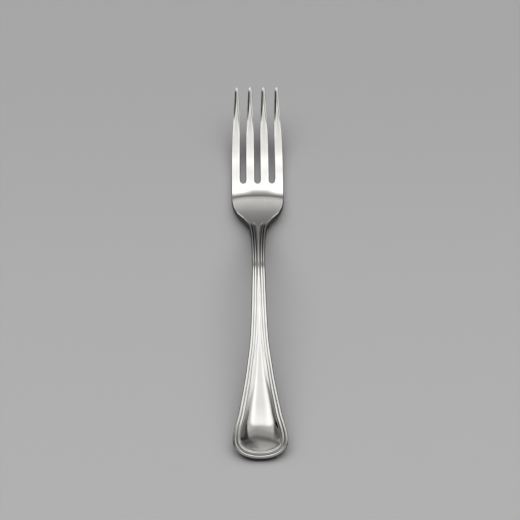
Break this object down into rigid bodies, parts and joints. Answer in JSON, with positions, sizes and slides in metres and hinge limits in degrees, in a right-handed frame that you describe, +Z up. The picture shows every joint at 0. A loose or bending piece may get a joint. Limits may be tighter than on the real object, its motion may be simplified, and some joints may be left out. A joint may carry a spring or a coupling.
{
  "type": "baby fork",
  "caption": "Polished metal baby fork with slender upturned tines, a rounded root, a slim neck and an arched handle edged with a thread border.",
  "frame": {"origin": "on the table under the middle of the fork's box, as it lies with its tines pointing up", "axes": "+Y along the fork towards the tine tips, +Z up from the table, +X to the right of the fork seen from above with the tines away from the viewer"},
  "size_m": [0.02, 0.1501, 0.0131],
  "materials": {
    "polished_metal": "mirror-polished silver-coloured metal, lightly worn from use"
  },
  "bodies": {
    "root": {"handle_end": "polished_metal", "shank": "polished_metal", "neck": "polished_metal", "root": "polished_metal", "tine_outer_left": "polished_metal", "tine_inner_left": "polished_metal", "tine_inner_right": "polished_metal", "tine_outer_right": "polished_metal"}
  },
  "joints": []
}
